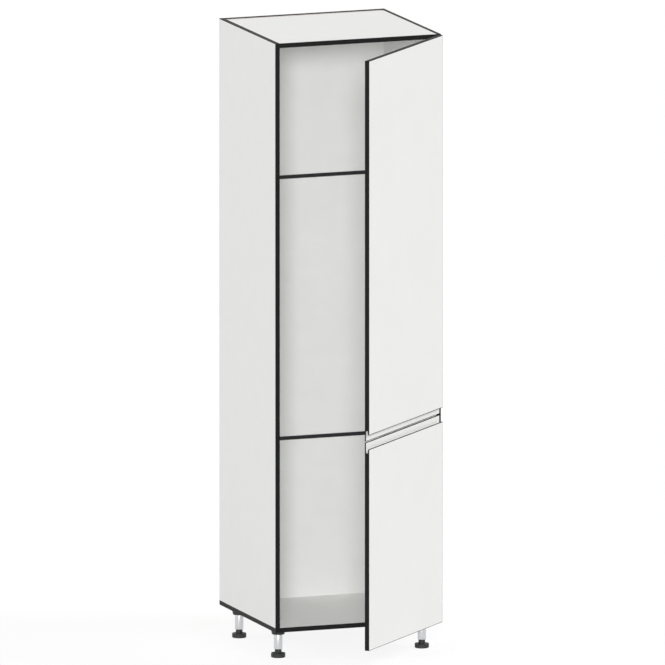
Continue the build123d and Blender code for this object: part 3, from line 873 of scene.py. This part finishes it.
def new_piece(name, shape, material, body, node):
    """A smooth piece from points in millimetres, sharp only where its faces meet at 50 degrees."""
    points, quads, fans = shape
    mesh = bpy.data.meshes.new(name)
    mesh.from_pydata((points * MM).tolist(), [], quads.tolist() + fans.tolist())
    mesh.shade_smooth()
    mesh.set_sharp_from_angle(angle=SHARP_ANGLE)
    stand_in(name, mesh, material, body, node)


print("Sharp edges start at", round(math.degrees(SHARP_ANGLE)), "degrees")

# %% [markdown]
# ## Faces and joints to measure from
# Small pieces have to sit exactly where the CAD has them. Their places could be typed in one by
# one, but would be wrong as soon as the cabinet changed. So they are counted in millimetres from
# the boards' faces, the doors' ends and the joints, which the frame knows.


# %% Faces and joints to measure from
def reach_of(part, axis):
    """Where a CAD part begins and ends along an axis, 0 to 2 for X to Z, in millimetres."""
    low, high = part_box(part)
    return round(low[axis] / MM, 2), round(high[axis] / MM, 2)


JOINTS = {joint["child"]: np.round(np.array(joint["pos_m"]) / MM, 3) for joint in frame["joints"]}
FRONT = reach_of("right_side_edging", 1)[0]
BACK_SHEET = reach_of("lower_back_sheet", 1)[0]
INNER_FACE, OUTER_FACE = reach_of("right_side_panel", 0)
UNDERSIDE, INSIDE_FLOOR = reach_of("bottom_panel", 2)
print("Side boards are", OUTER_FACE - INNER_FACE, "mm thick, and their front is at", FRONT)

# %% [markdown]
# ## Feet
# A kitchen foot is moulded in black polypropylene. Its rim is fluted, so that fingers can lift and
# turn it, its sole is hollow with radial ribs to save plastic, and its stem has shallow rings that
# grip the tube. Each could be a piece of its own, joined on. Flutes and ribs are waves of the angle
# instead, added to the radius or to the height of the turning, so a foot is one closed surface.

# %% Feet
FLUTES, FLUTE_DEPTH = 28, 0.7
RING_PITCH, RING_DEPTH = 4, 0.35
RIBS, SOLE_DEPTH = 10, 3
FOOT_CORNERS = [(0, 0), (24.5, 0), (24.5, 15), (11.7, 15), (11.7, 69), (0, 69)]
# A foot slides straight up its tube, so it stands below its joint.
FOOT_PLACES = {body: (*at[:2], 0) for body, at in JOINTS.items() if body.endswith("_foot")}


def foot_shape(r, a, z):
    """Radius less waves for the rim's flutes and the stem's rings, and sole raised between ribs.

    A point's distance from the nearest rib is its angle from it times its radius.
    """
    # The rim is what lies over 20 mm out and 2.5 to 12.5 mm up, and the stem is from 20 to 66 mm.
    flutes = 0.5 - 0.5 * np.cos(FLUTES * a)
    on_rim = rise(r, 20, 24) * rise(z, 2.5, 4) * (1 - rise(z, 11, 12.5))
    rings = 0.5 - 0.5 * np.cos(2 * np.pi * z / RING_PITCH)
    on_stem = rise(z, 20, 22) * (1 - rise(z, 64, 66))
    # The sole is hollow from 6 to 20 mm out, apart from ribs 2.4 mm wide.
    from_rib = np.abs((a * RIBS / (2 * np.pi)) % 1 - 0.5) * 2 * np.pi / RIBS * r
    hollow = rise(r, 5, 6) * (1 - rise(r, 20, 21)) * rise(from_rib, 0.8, 1.6) * (z < 1)
    bent = r - FLUTE_DEPTH * flutes * on_rim - RING_DEPTH * rings * on_stem
    return bent, z + SOLE_DEPTH * hollow


foot_profile = divided(rounded(FOOT_CORNERS, reach=2, steps=5), spacing=1.0)
foot_turning = turning(foot_profile, 168, foot_shape)
for name, place in FOOT_PLACES.items():
    standing = copies(foot_turning, [(place, UP, RIGHT)])
    new_piece("fluted_" + name, standing, polypropylene, name, name)

# %% [markdown]
# ## Screws
# Chipboard screws have a cross recess, a thin rim and a coarse thread on a slim core. Blender's
# Screw modifier could wind a thread, but doesn't join it to the core. Here the thread is a ridge of
# the turning that climbs one pitch per turn: its phase is the height over the pitch, less the turn.
# The cross is the part of the head's grid that lies lower.


# %% Threads and crosses
def threaded(r, a, z, low, high, pitch, depth):
    """Radius less depth between a thread's ridges, whose phase is z over pitch less the turn.

    A ridge is full over its middle third, and slopes down to the core over a third on each side.
    """
    phase = (z / pitch - a / (2 * np.pi)) % 1
    ridge = np.clip(1.5 - 3 * np.abs(phase - 0.5), 0, 1)
    window = rise(z, low, low + pitch) * (1 - rise(z, high - pitch, high))
    return r - depth * (1 - ridge) * window


def crossed(r, a, z, above, reach, width, depth):
    """Height less depth inside a cross: within width of one axis and within reach along it."""
    x, y = np.abs(r * np.cos(a)), np.abs(r * np.sin(a))
    near, far = np.minimum(x, y), np.maximum(x, y)
    across = 1 - rise(near, width / 2 - 0.1, width / 2 + 0.15)
    along = 1 - rise(far, reach - 0.5, reach)
    return z - depth * across * along * (z > above)


def wood_screw(seat, length):
    """3.5 mm chipboard screw along Z: its head lies on seat, and its tip is length below zero.

    Its head's dome is 1.05 mm times 1 - (r/3.5)^2 above the rim.
    """
    corners = [(0, -length), (1.75, 3.5 - length), (1.75, seat), (3.5, seat), (3.5, seat + 0.35)]
    shank = divided(rounded(corners, reach=0.12, steps=3), spacing=0.25)
    radius = np.linspace(3.35, 0, 14)
    dome = np.column_stack([radius, seat + 0.4 + 1.05 * (1 - (radius / 3.5) ** 2)])

    def shape(r, a, z):
        r = threaded(r, a, z, low=0.6 - length, high=seat - 1.0, pitch=1.6, depth=0.5) * (r > 0)
        z = crossed(r, a, z, above=seat + 0.3, reach=2.3, width=0.9, depth=1.0)
        return np.maximum(r, 0.1), z

    return turning(np.vstack([shank, dome]), 32, shape)


print("A 10 mm wood screw has", len(wood_screw(1.2, 10)[0]), "points")

# %% Where the hinges are
# Heights are counted from a door's plain end and from its end with the grip. The tall door has a
# hinge in its middle too.
PLAIN_END_TO_HINGE, UPPER_GRIP_TO_HINGE, LOWER_GRIP_TO_HINGE = 98, 214, 118
UPPER_LOW, UPPER_HIGH = reach_of("upper_door_edging", 2)
LOWER_LOW, LOWER_HIGH = reach_of("lower_door_edging", 2)
HINGE_HEIGHTS = {
    "upper": (
        UPPER_LOW + UPPER_GRIP_TO_HINGE,
        (UPPER_LOW + UPPER_HIGH) / 2,
        UPPER_HIGH - PLAIN_END_TO_HINGE,
    ),
    "lower": (LOWER_LOW + PLAIN_END_TO_HINGE, LOWER_HIGH - LOWER_GRIP_TO_HINGE),
}
ALL_HINGES = HINGE_HEIGHTS["upper"] + HINGE_HEIGHTS["lower"]
# The doors stand open by 45 degrees. Their back faces look to the rear left, and each runs from its
# hinge corner to the front left.
TOWARD_FREE = np.array([-1, -1]) * math.sqrt(0.5)
OUT_OF_BACK = (-math.sqrt(0.5), math.sqrt(0.5), 0)
# The pin that a door turns on lies this far from its hinge corner along the door, and this deep.
PIN_SETBACK, PIN_DEPTH = 8.6, 3.8
CUP_PIN = JOINTS["upper_door"][:2]


def on_door(setback, z):
    """Point of a door's back face, setback from its hinge corner along the door, at height z.

    It is the pin, plus the setback less the pin's along the door, plus the pin's depth outwards.
    """
    along, outwards = setback - PIN_SETBACK, np.array(OUT_OF_BACK[:2])
    return (*(CUP_PIN + TOWARD_FREE * along + outwards * PIN_DEPTH), z)


print("Hinges are at the heights", ALL_HINGES)

# %% Place the small screws
# A cup has two screws 45 mm apart, a plate two 32 mm apart on the side board's inner face, and a
# socket four, on a circle round its tube.
CUP_SCREW_SETBACK, CUP_SCREW_PITCH = 31, 45
PLATE_SCREW_SETBACK, PLATE_SCREW_PITCH = 37, 32
SOCKET_SCREW_CIRCLE = 38
socket_reach = SOCKET_SCREW_CIRCLE / 2 * math.sqrt(0.5)

for leaf, heights in HINGE_HEIGHTS.items():
    cup_screw_places = [
        (on_door(CUP_SCREW_SETBACK, z + side * CUP_SCREW_PITCH / 2), OUT_OF_BACK, UP)
        for z in heights
        for side in (-1, 1)
    ]
    cup_screws = copies(wood_screw(seat=1.2, length=10), cup_screw_places)
    name, body, node = f"{leaf}_cup_cross_screws", f"{leaf}_door", f"{leaf}_cup_screws"
    new_piece(name, cup_screws, zinc, body, node)

plate_screw_places = [
    ((INNER_FACE, FRONT + PLATE_SCREW_SETBACK, z + side * PLATE_SCREW_PITCH / 2), LEFT, UP)
    for z in ALL_HINGES
    for side in (-1, 1)
]
plate_screws = copies(wood_screw(seat=2.0, length=12), plate_screw_places)
new_piece(
    "plate_cross_screws", plate_screws, zinc, "carcass", "hinge_plate_screws"
)
leg_screw_places = [
    ((x + i * socket_reach, y + j * socket_reach, UNDERSIDE), DOWN, RIGHT)
    for x, y, _ in FOOT_PLACES.values()
    for i in (-1, 1)
    for j in (-1, 1)
]
leg_screws = copies(wood_screw(seat=4.0, length=10), leg_screw_places)
new_piece("leg_cross_screws", leg_screws, zinc, "carcass", "leg_screws")

# %% Clamp screws
CLAMP_SCREW_SETBACK, ARM_HEIGHT = 50, 12


def clamp_screw():
    """M6 screw along Z: shank from -10, low pan head of radius 4 on zero, a cross in its top."""
    corners = [(0, -10), (3, -10), (3, 0), (4, 0), (4, 1.6), (3.4, 2), (0, 2)]
    profile = divided(rounded(corners, reach=0.3, steps=3), spacing=0.2)

    def shape(r, a, z):
        bent = threaded(r, a, z, low=-9.8, high=-0.5, pitch=1.0, depth=0.45 * (r > 2.5))
        return bent, crossed(r, a, z, above=1.7, reach=2.6, width=1.1, depth=1.2)

    return turning(profile, 36, shape)


clamp_places = [
    ((INNER_FACE - ARM_HEIGHT, FRONT + CLAMP_SCREW_SETBACK, z), LEFT, UP) for z in ALL_HINGES
]
clamp_screws = copies(clamp_screw(), clamp_places)
new_piece("clamp_cross_screws", clamp_screws, zinc, "carcass", "clamp_screws")

# %% [markdown]
# ## Fixings inside the boards
# Long cabinet screws with a hexagon socket come up from under the bottom board. Beech dowels have
# fine flutes that let air and glue escape, and the bolts in the sides have a coarse thread, a
# collar that stops at the board's face, and a neck and ball that the cam pulls on. They are hidden
# once the cabinet stands, and could stay plain, but a part that is taken apart shows them. They are
# turnings too, so the same helpers serve.


# %% Cabinet screw
def cabinet_screw():
    """50 mm screw along Z from the board's underside: head, neck, thread and a hexagon socket.

    The socket is 4 mm across its flats and 2.8 mm deep. A point is inside while its distance along
    the nearest flat's normal, r times the cosine of the angle between them, is under 2 mm.
    """
    corners = [(0, 0), (4.7, 0), (5, 0.3), (5, 4), (3.5, 5.2), (3.5, 16), (2.5, 17), (2.5, 45)]
    profile = divided(rounded(corners + [(0, 50)], reach=0.3, steps=3), spacing=0.45)

    def shape(r, a, z):
        to_flat = r * np.cos((a + np.pi / 6) % (np.pi / 3) - np.pi / 6)
        socket = (1 - rise(to_flat, 1.9, 2.15)) * (z < 0.2)
        bent = threaded(r, a, z, low=17, high=47, pitch=3.0, depth=0.6 * (r > 0.7))
        return bent, z + 2.8 * socket

    return turning(profile, 48, shape)


# Each side has a fixing near the front and one near the back sheet, and the screws have one more
# in the middle of the cabinet's depth.
FIXING_FROM_FRONT, FIXING_FROM_BACK_SHEET = 60, 100
front_fixing, back_fixing = FRONT + FIXING_FROM_FRONT, BACK_SHEET - FIXING_FROM_BACK_SHEET
side_middle = (INNER_FACE + OUTER_FACE) / 2
screw_places = [
    ((x, y, UNDERSIDE), UP, RIGHT)
    for x in (-side_middle, side_middle)
    for y in (front_fixing, 0, back_fixing)
]
cabinet_screws = copies(cabinet_screw(), screw_places)
new_piece("socket_head_screws", cabinet_screws, zinc, "carcass", "confirmat_screws")


# %% Dowels
def dowel():
    """8 mm dowel along Z from 0 to 30, with chamfered ends and 16 flutes along it.

    A flute is a V: 0.25 mm deep in its middle, and shallower in proportion to the angle from there.
    """
    corners = [(0, 0), (3.1, 0), (4, 1.3), (4, 28.7), (3.1, 30), (0, 30)]
    profile = divided(rounded(corners, reach=0.3, steps=3), spacing=2.5)

    def shape(r, a, z):
        flutes = np.clip(1 - 2 * np.abs((a * 16 / (2 * np.pi)) % 1 - 0.5) * 1.6, 0, 1)
        return r - 0.25 * flutes * rise(z, 1, 2) * (1 - rise(z, 28, 29)), z

    return turning(profile, 96, shape)


# Four dowels stand in the bottom board, and four more in each side hold the top board and the rail.
# A board holds 20 mm of a dowel in its end and 10 mm in its face. The rail's dowels are counted
# from its lower edge.
DOWEL_FROM_FIXING, DOWEL_IN_END, DOWEL_IN_FACE = 64, 20, 10
RAIL_DOWEL_HEIGHTS = (20, 60)
dowel_depths = (front_fixing + DOWEL_FROM_FIXING, back_fixing - DOWEL_FROM_FIXING)
top_middle = sum(reach_of("top_panel", 2)) / 2
rail_middle, rail_low = sum(reach_of("top_rail", 1)) / 2, reach_of("top_rail", 2)[0]
level_dowels = [(y, top_middle) for y in dowel_depths]
level_dowels += [(rail_middle, rail_low + height) for height in RAIL_DOWEL_HEIGHTS]
dowel_places = [
    ((x, y, INSIDE_FLOOR - DOWEL_IN_FACE), UP, RIGHT)
    for x in (-side_middle, side_middle)
    for y in dowel_depths
]
dowel_places += [
    ((side * (INNER_FACE - DOWEL_IN_END), y, z), (side, 0, 0), UP)
    for side in (-1, 1)
    for y, z in level_dowels
]
new_piece("fluted_dowels", copies(dowel(), dowel_places), beech, "carcass", "wood_dowels")


# %% Cam bolts
def cam_bolt():
    """Bolt along Z from the cam's middle at 0: ball, neck, shank, collar at 24, thread up to 35."""
    corners = [(0, 0), (2.6, 0), (3.3, 1), (3.3, 2.4), (1.9, 3.4), (1.9, 6), (2.6, 7), (2.6, 22)]
    corners += [(3.5, 22.4), (3.5, 24), (3.2, 24.2), (3.2, 34), (2.2, 35), (0, 35)]
    profile = divided(rounded(corners, reach=0.25, steps=3), spacing=0.5)

    def shape(r, a, z):
        return threaded(r, a, z, low=24.3, high=34.5, pitch=2.0, depth=0.7), z

    return turning(profile, 32, shape)


CAM_FROM_END = 24
bolt_places = [
    ((side * (INNER_FACE - CAM_FROM_END), y, top_middle), (side, 0, 0), UP)
    for side in (-1, 1)
    for y in (front_fixing, back_fixing)
]
cam_bolts = copies(cam_bolt(), bolt_places)
new_piece("collared_bolts", cam_bolts, zinc, "carcass", "cam_bolts")

# %% [markdown]
# ## Pins and buffers
# The hinge pins are rivets with slightly crowned ends. The buffers are clear domes of soft
# polyurethane, stuck near the doors' free edges so that a door meets the cabinet without a bang.
# A cylinder and half a sphere could stand for them, but only a turned profile gives a rivet its
# crown and a buffer the thin edge that its glue holds.


# %% Pins
def hinge_pin():
    """2.5 mm pin along Z from -7.1 to 7.1, whose ends are crowned by 0.4 mm."""
    corners = [(0, -7.1), (1.05, -7.0), (1.25, -6.7), (1.25, 6.7), (1.05, 7.0), (0, 7.1)]
    return turning(rounded(corners, reach=0.2), 24)


ARM_PIN = JOINTS["upper_outer_links"][:2]
arm_pins = copies(hinge_pin(), [((*ARM_PIN, z), UP, RIGHT) for z in ALL_HINGES])
new_piece("arm_rivets", arm_pins, zinc, "carcass", "arm_pins")


# %% Buffer
def buffer_dome():
    """Dome of radius 4 mm: its height is 0.3 mm plus 1.2 mm times the root of 1 - (r/4)^2."""
    angle = np.linspace(0, np.pi / 2, 12)
    dome = np.column_stack([4 * np.cos(angle), 0.3 + 1.2 * np.sin(angle)])
    return turning(np.vstack([[(0, 0), (3.9, 0)], dome]), 40)


print("A buffer has", len(buffer_dome()[0]), "points")

# %% Pins and buffers of each door
BUFFER_SETBACK, BUFFER_FROM_GRIP_END, BUFFER_FROM_PLAIN_END = 566, 62.5, 40
BUFFER_HEIGHTS = {
    "upper": (UPPER_LOW + BUFFER_FROM_GRIP_END, UPPER_HIGH - BUFFER_FROM_PLAIN_END),
    "lower": (LOWER_HIGH - BUFFER_FROM_GRIP_END, LOWER_LOW + BUFFER_FROM_PLAIN_END),
}
for leaf, heights in HINGE_HEIGHTS.items():
    door = f"{leaf}_door"
    pins = copies(hinge_pin(), [((*CUP_PIN, z), UP, RIGHT) for z in heights])
    new_piece(f"{leaf}_cup_rivets", pins, zinc, door, f"{leaf}_cup_pins")
    places = [(on_door(BUFFER_SETBACK, z), OUT_OF_BACK, UP) for z in BUFFER_HEIGHTS[leaf]]
    domes = copies(buffer_dome(), places)
    node = f"{leaf}_door_buffers"
    new_piece(f"{leaf}_buffer_domes", domes, buffer_plastic, door, node)

# %% [markdown]
# ## Softened pressings, castings and mouldings
# Nothing pressed, cast or moulded has a knife edge. The roundings could go into the CAD, where they
# would make its solids heavy. Here each piece is a merged copy of the CAD mesh, of the same shape,
# whose arrises a small bevel rounds, so that they catch a thin highlight.

# %% Softened parts
MERGE_DISTANCE = 0.002 * MM
FLAT_ANGLE, ARRIS_ANGLE = math.radians(1), math.radians(40)
BEVEL_STEPS = 2


def softened(node, name, radius_mm, material, body):
    """Merged copy of a CAD part with its arrises bevelled to radius_mm in two steps."""
    mesh = nodes[node].data.copy()
    mesh.name = name
    work = bmesh.new()
    work.from_mesh(mesh)
    bmesh.ops.remove_doubles(work, verts=work.verts, dist=MERGE_DISTANCE)
    bmesh.ops.dissolve_limit(work, angle_limit=FLAT_ANGLE, verts=work.verts, edges=work.edges)
    work.to_mesh(mesh)
    work.free()
    mesh.shade_smooth()
    piece = stand_in(name, mesh, material, body, node)
    bevel = piece.modifiers.new("soft_arrises", "BEVEL")
    bevel.width = radius_mm * MM
    bevel.segments = BEVEL_STEPS
    bevel.limit_method = "ANGLE"
    bevel.angle_limit = ARRIS_ANGLE
    bevel.harden_normals = True


softened("hinge_arms", "pressed_hinge_arms", 0.3, nickel, "carcass")
softened("hinge_plates", "pressed_hinge_plates", 0.4, nickel, "carcass")
softened("cam_locks", "cast_cam_locks", 0.3, zinc_casting, "carcass")
softened("leg_sockets", "moulded_leg_sockets", 0.5, polypropylene, "carcass")
softened("leg_tubes", "trimmed_leg_tubes", 0.3, aluminium, "carcass")
for leaf in ("upper", "lower"):
    cups, links = f"{leaf}_hinge_cups", f"{leaf}_outer_links"
    softened(cups, "pressed_" + cups, 0.25, nickel, f"{leaf}_door")
    softened(links, "pressed_" + links, 0.3, nickel, links)

# %% [markdown]
# ## Floor and background
# The drawing's ground is plain white. A lamp strong enough to make a floor white would clip the
# cabinet too. So the floor is a wide pale disc: a camera ray sees the white world through it, with
# what the lamps give it added. It is white where nothing shades it, keeps the cabinet's soft
# shadow, and doesn't hide a foot that is screwed out below the level it rests on. Mirror-like
# surfaces see the same white.


# %% White world
def seen_directly(owner):
    """1 for camera, glossy and transmission rays and 0 for the diffuse light between surfaces."""
    path = add_node(owner, "ShaderNodeLightPath")
    either = add_node(
        owner,
        "ShaderNodeMath",
        {0: (path, "Is Camera Ray"), 1: (path, "Is Glossy Ray")},
        operation="MAXIMUM",
    )
    return add_node(
        owner,
        "ShaderNodeMath",
        {0: (either, 0), 1: (path, "Is Transmission Ray")},
        operation="MAXIMUM",
    )


AMBIENT = 0.43
world = bpy.data.worlds.new("white_studio")
world.use_nodes = True
world.node_tree.nodes.clear()
level = add_node(
    world,
    "ShaderNodeMapRange",
    {"Value": (seen_directly(world), 0)},
    {"To Min": AMBIENT, "To Max": 1.0},
)
sky = add_node(
    world, "ShaderNodeBackground", {"Strength": (level, 0)}, {"Color": linear("FFFFFF")}
)
add_node(world, "ShaderNodeOutputWorld", {"Surface": (sky, 0)})
bpy.context.scene.world = world
print("Ambient light:", AMBIENT)


# %% Floor
def floor_disc(radius, segments):
    """A flat disc: its rim points stand at equal angles round the origin, on the floor."""
    angles = np.linspace(0, 2 * np.pi, segments, endpoint=False)
    rim = np.column_stack([radius * np.cos(angles), radius * np.sin(angles), np.zeros(segments)])
    mesh = bpy.data.meshes.new("floor")
    mesh.from_pydata(rim.tolist(), [], [list(range(segments))])
    return add_object("floor", mesh)


def pale_floor():
    """Pale matt floor. Rays that see it directly mostly pass on to the white world below it."""
    material = start_material("pale_floor")
    # Matt grey sends light back up to the cabinet. Seen directly, the floor adds a thin veil of the
    # lamps' light to 85% of the white below.
    matt, shadow_veil = [
        add_node(
            material,
            "ShaderNodeBsdfDiffuse",
            values={"Color": linear(grey), "Roughness": 0.0},
        )
        for grey in ("BCBCBC", "7C7C7C")
    ]
    clear = add_node(material, "ShaderNodeBsdfTransparent", values={"Color": linear("EDEDED")})
    veiled = add_node(material, "ShaderNodeAddShader", {0: (shadow_veil, 0), 1: (clear, 0)})
    floor_look = add_node(
        material,
        "ShaderNodeMixShader",
        {0: (seen_directly(material), 0), 1: (matt, 0), 2: (veiled, 0)},
    )
    return finish_material(material, floor_look)


floor = floor_disc(radius=150.0, segments=96)
floor.data.materials.append(pale_floor())
print("The floor is", round(floor.dimensions.x), "metres wide")

# %% [markdown]
# ## Lamps
# Area lamps would light what is near them more than the rest of so tall a piece. Three broad, soft
# lamps at infinity light the whole height evenly. A low one from the front shines past the open
# doors into the cabinet, a weak one from the rear left lifts the side board and the back, and a
# higher one from the right lights the doors and lets their lips shade the grips. Together they
# bring a white face that looks to the front just under white, so that nothing clips when the doors
# are shut.


# %% Lamps
def soft_lamp(name, azimuth, elevation, strength, spread):
    """A lamp that shines from azimuth and elevation, from a disc of the sky spread degrees wide."""
    lamp = bpy.data.lights.new(name, "SUN")
    lamp.energy = strength
    lamp.angle = math.radians(spread)
    source = direction(azimuth, elevation)
    add_object(name, lamp).rotation_euler = source.to_track_quat("Z", "Y").to_euler()


soft_lamp("front", azimuth=-21, elevation=12, strength=1.55, spread=12)
soft_lamp("rear_left", azimuth=-108, elevation=25, strength=0.75, spread=20)
soft_lamp("right", azimuth=60, elevation=38, strength=1.1, spread=16)
bpy.context.scene.view_settings.view_transform = "Standard"
